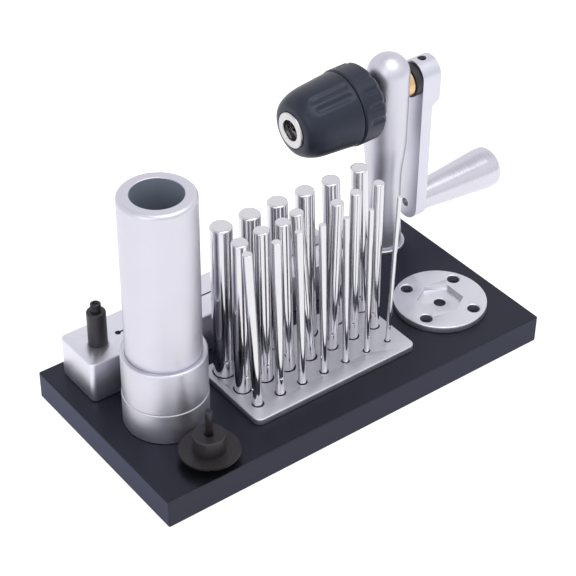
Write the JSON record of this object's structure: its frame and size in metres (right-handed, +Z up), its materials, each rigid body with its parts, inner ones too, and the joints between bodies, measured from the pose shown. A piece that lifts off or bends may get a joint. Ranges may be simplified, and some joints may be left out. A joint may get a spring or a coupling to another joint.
{
  "type": "jump ring winder and saw set",
  "caption": "Hand-cranked ring winder: chuck on a post, rack of graded winding mandrels, slit coil holder, handpiece guard tube, slitting saw on its arbor and a bench flange, on one base.",
  "frame": {"origin": "centre of the base plate underside, on the bench", "axes": "+X along the base from the guard tube to the crank, +Y from the front edge to the back, +Z up"},
  "size_m": [0.3103, 0.1326, 0.1565],
  "materials": {
    "graphite_anodised": "satin, fine bead-blasted",
    "satin_aluminium": "satin clear anodised, fine turned or milled lines",
    "polished_steel": "ground and polished",
    "plain_steel": "turned",
    "blackened_steel": "black oxide",
    "black_plastic": "satin moulded",
    "bronze": "turned"
  },
  "bodies": {
    "stand": {"base_plate": "graphite_anodised", "rack_plate": "satin_aluminium", "rack_screws": "plain_steel", "post": "satin_aluminium", "post_flange": "satin_aluminium", "post_bolt": "plain_steel", "bush_front": "bronze", "bush_rear": "bronze"},
    "crank": {"spindle": "plain_steel", "chuck_core": "plain_steel", "chuck_rear_ring": "black_plastic", "chuck_nose_ring": "plain_steel", "thrust_collar": "blackened_steel", "crank_arm": "satin_aluminium", "crank_set_screw": "blackened_steel", "handle_axle": "plain_steel"},
    "sleeve": {"chuck_sleeve": "black_plastic"},
    "jaw_a": {"jaw_1": "plain_steel"},
    "jaw_b": {"jaw_2": "plain_steel"},
    "jaw_c": {"jaw_3": "plain_steel"},
    "handle": {"handle": "satin_aluminium"},
    "guard": {"handpiece_tube": "satin_aluminium", "guard_collar": "satin_aluminium", "guard_cap": "satin_aluminium"},
    "block": {"coil_block": "satin_aluminium", "block_dowels": "plain_steel"},
    "stop": {"stop_post": "blackened_steel", "stop_screw": "blackened_steel"},
    "saw": {"arbor_foot": "blackened_steel", "saw_blade": "blackened_steel", "arbor_hub": "blackened_steel", "arbor_shank": "blackened_steel"},
    "flange": {"bench_flange": "satin_aluminium"},
    "rod_120": {"mandrel_120": "polished_steel"},
    "rod_115": {"mandrel_115": "polished_steel"},
    "rod_110": {"mandrel_110": "polished_steel"},
    "rod_105": {"mandrel_105": "polished_steel"},
    "rod_100": {"mandrel_100": "polished_steel"},
    "rod_095": {"mandrel_095": "polished_steel"},
    "rod_090": {"mandrel_090": "polished_steel"},
    "rod_085": {"mandrel_085": "polished_steel"},
    "rod_080": {"mandrel_080": "polished_steel"},
    "rod_075": {"mandrel_075": "polished_steel"},
    "rod_070": {"mandrel_070": "polished_steel"},
    "rod_065": {"mandrel_065": "polished_steel"},
    "rod_060": {"mandrel_060": "polished_steel"},
    "rod_055": {"mandrel_055": "polished_steel"},
    "rod_050": {"mandrel_050": "polished_steel"},
    "rod_045": {"mandrel_045": "polished_steel"},
    "rod_040": {"mandrel_040": "polished_steel"},
    "rod_035": {"mandrel_035": "polished_steel"},
    "rod_030": {"mandrel_030": "polished_steel"},
    "rod_025": {"mandrel_025": "polished_steel"}
  },
  "joints": [
    {"name": "crank_spin", "type": "hinge", "parent": "stand", "child": "crank", "pos_m": [0.1, 0.0468, 0.1209], "axis": [0.9996, 0, 0.0279], "continuous": true},
    {"name": "handle_spin", "type": "hinge", "parent": "crank", "child": "handle", "pos_m": [0.10029, 0.0468, 0.0369], "axis": [1, 0, 0.0035], "continuous": true},
    {"name": "chuck_close", "type": "hinge", "parent": "crank", "child": "sleeve", "pos_m": [0.1, 0.0468, 0.1209], "axis": [0.9996, 0, 0.0279], "range_deg": [0, 1800]},
    {"name": "jaw_a_slide", "type": "slide", "parent": "crank", "child": "jaw_a", "axis": [-0.9583, 0, -0.2857], "range_m": [0, 0.0173]},
    {"name": "jaw_b_slide", "type": "slide", "parent": "crank", "child": "jaw_b", "axis": [-0.9692, -0.2241, 0.1024], "range_m": [0, 0.0173]},
    {"name": "jaw_c_slide", "type": "slide", "parent": "crank", "child": "jaw_c", "axis": [-0.9692, 0.2241, 0.1024], "range_m": [0, 0.0173]},
    {"name": "guard_lift", "type": "slide", "parent": "stand", "child": "guard", "axis": [0, 0, 1], "range_m": [0, 0.06]},
    {"name": "block_lift", "type": "slide", "parent": "stand", "child": "block", "axis": [0, 0, 1], "range_m": [0, 0.012]},
    {"name": "stop_lift", "type": "slide", "parent": "block", "child": "stop", "axis": [0, 0, 1], "range_m": [0, 0.02]},
    {"name": "saw_lift", "type": "slide", "parent": "stand", "child": "saw", "axis": [0, 0, 1], "range_m": [0, 0.04]},
    {"name": "flange_lift", "type": "slide", "parent": "stand", "child": "flange", "axis": [0, 0, 1], "range_m": [0, 0.04]},
    {"name": "rod_120_lift", "type": "slide", "parent": "stand", "child": "rod_120", "axis": [-0.0209, -0.0192, 0.9996], "range_m": [0, 0.025]},
    {"name": "rod_115_lift", "type": "slide", "parent": "stand", "child": "rod_115", "axis": [-0.0279, -0.0157, 0.9995], "range_m": [0, 0.025]},
    {"name": "rod_110_lift", "type": "slide", "parent": "stand", "child": "rod_110", "axis": [-0.0366, -0.0105, 0.9993], "range_m": [0, 0.025]},
    {"name": "rod_105_lift", "type": "slide", "parent": "stand", "child": "rod_105", "axis": [-0.0506, -0.0157, 0.9986], "range_m": [0, 0.025]},
    {"name": "rod_100_lift", "type": "slide", "parent": "stand", "child": "rod_100", "axis": [-0.068, -0.0175, 0.9975], "range_m": [0, 0.025]},
    {"name": "rod_095_lift", "type": "slide", "parent": "stand", "child": "rod_095", "axis": [-0.061, -0.014, 0.998], "range_m": [0, 0.025]},
    {"name": "rod_090_lift", "type": "slide", "parent": "stand", "child": "rod_090", "axis": [-0.0209, -0.0157, 0.9997], "range_m": [0, 0.025]},
    {"name": "rod_085_lift", "type": "slide", "parent": "stand", "child": "rod_085", "axis": [-0.0209, 0.0052, 0.9998], "range_m": [0, 0.025]},
    {"name": "rod_080_lift", "type": "slide", "parent": "stand", "child": "rod_080", "axis": [-0.0401, 0, 0.9992], "range_m": [0, 0.025]},
    {"name": "rod_075_lift", "type": "slide", "parent": "stand", "child": "rod_075", "axis": [-0.0802, 0.0297, 0.9963], "range_m": [0, 0.025]},
    {"name": "rod_070_lift", "type": "slide", "parent": "stand", "child": "rod_070", "axis": [-0.0105, -0.0279, 0.9996], "range_m": [0, 0.025]},
    {"name": "rod_065_lift", "type": "slide", "parent": "stand", "child": "rod_065", "axis": [-0.0244, -0.0122, 0.9996], "range_m": [0, 0.025]},
    {"name": "rod_060_lift", "type": "slide", "parent": "stand", "child": "rod_060", "axis": [-0.0244, -0.014, 0.9996], "range_m": [0, 0.025]},
    {"name": "rod_055_lift", "type": "slide", "parent": "stand", "child": "rod_055", "axis": [-0.0419, 0.0297, 0.9987], "range_m": [0, 0.025]},
    {"name": "rod_050_lift", "type": "slide", "parent": "stand", "child": "rod_050", "axis": [-0.0122, 0.0262, 0.9996], "range_m": [0, 0.025]},
    {"name": "rod_045_lift", "type": "slide", "parent": "stand", "child": "rod_045", "axis": [-0.0157, 0.0297, 0.9994], "range_m": [0, 0.025]},
    {"name": "rod_040_lift", "type": "slide", "parent": "stand", "child": "rod_040", "axis": [-0.0314, 0.007, 0.9995], "range_m": [0, 0.025]},
    {"name": "rod_035_lift", "type": "slide", "parent": "stand", "child": "rod_035", "axis": [-0.0419, -0.0157, 0.999], "range_m": [0, 0.025]},
    {"name": "rod_030_lift", "type": "slide", "parent": "stand", "child": "rod_030", "axis": [-0.0419, -0.0332, 0.9986], "range_m": [0, 0.025]},
    {"name": "rod_025_lift", "type": "slide", "parent": "stand", "child": "rod_025", "axis": [0, -0.0314, 0.9995], "range_m": [0, 0.025]}
  ],
  "couplings": [
    {"joint": "jaw_a_slide", "follows": "chuck_close", "m_per_rad": 0.00055013},
    {"joint": "jaw_b_slide", "follows": "chuck_close", "m_per_rad": 0.00055013},
    {"joint": "jaw_c_slide", "follows": "chuck_close", "m_per_rad": 0.00055013}
  ]
}
